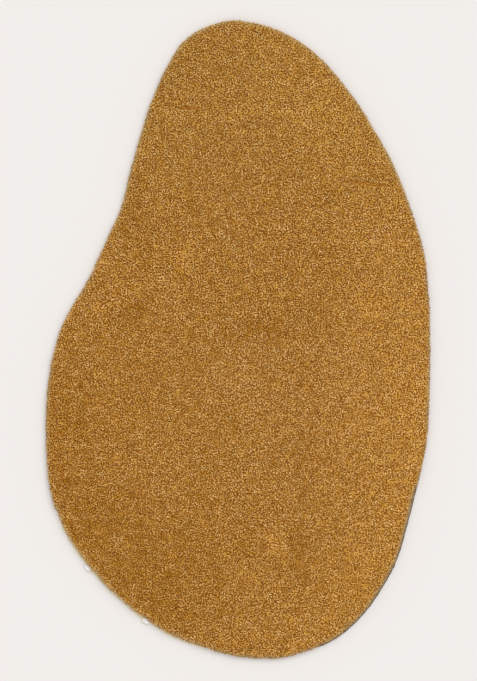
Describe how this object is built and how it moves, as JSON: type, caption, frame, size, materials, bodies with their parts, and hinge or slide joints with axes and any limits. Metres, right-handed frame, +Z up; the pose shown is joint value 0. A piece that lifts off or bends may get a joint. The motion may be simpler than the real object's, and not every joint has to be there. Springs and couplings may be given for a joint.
{
  "type": "freeform rug",
  "caption": "Flat cut-pile rug with a freeform pebble outline: narrow round toe, broad round foot and a shallow bay in the left flank, on a glued backing cloth.",
  "frame": {"origin": "on the floor, under the middle of the rug's bounding box", "axes": "+Z up from the floor through the pile, +Y along the rug's length towards the narrow round toe, +X to the right as the rug is seen from above with the toe at the top"},
  "size_m": [0.9071, 1.5, 0.0161],
  "materials": {
    "pile_yarn": "matt cut-pile wool yarn, ochre to golden brown, slightly mottled",
    "backing_cloth": "matt natural plain-weave cotton backing cloth"
  },
  "bodies": {
    "root": {"backing": "backing_cloth", "pile": "pile_yarn"}
  },
  "joints": []
}
